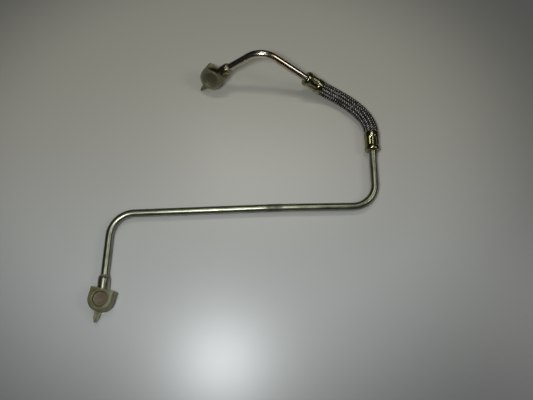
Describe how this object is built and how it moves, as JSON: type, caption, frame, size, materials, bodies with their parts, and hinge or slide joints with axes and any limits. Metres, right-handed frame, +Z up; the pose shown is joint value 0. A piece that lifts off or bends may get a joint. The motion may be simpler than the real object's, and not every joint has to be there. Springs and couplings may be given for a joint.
{
  "type": "fuel return pipe",
  "caption": "Bent steel fuel return pipe with a crimped braided hose between its halves and a brazed banjo eye on each end, each eye under a soft protective cap.",
  "frame": {"origin": "middle of the assembly's box in plan, on the table that it lies on", "axes": "+X along the long straight run towards the crimped hose, +Y across towards the raised short pipe, +Z up from the table"},
  "size_m": [0.2992, 0.2806, 0.0537],
  "materials": {
    "zinc_plated_steel": "dull zinc plate with an olive tint",
    "bright_plated_steel": "bright plate with a brown tint",
    "yellow_passivated_steel": "yellow-green passivated zinc plate",
    "braze": "dull braze",
    "black_rubber": "matt black",
    "dark_braid": "dark grey woven yarn with pale specks",
    "smoky_plastic": "soft smoky olive plastic, slightly see-through"
  },
  "bodies": {
    "root": {"long_pipe": "zinc_plated_steel", "short_pipe": "bright_plated_steel", "lower_banjo_eye": "zinc_plated_steel", "upper_banjo_eye": "yellow_passivated_steel", "lower_braze_ring": "braze", "upper_braze_ring": "braze", "lower_ferrule": "yellow_passivated_steel", "upper_ferrule": "yellow_passivated_steel", "hose_liner": "black_rubber", "hose_braid": "dark_braid", "lower_cap": "smoky_plastic", "upper_cap": "smoky_plastic"}
  },
  "joints": []
}
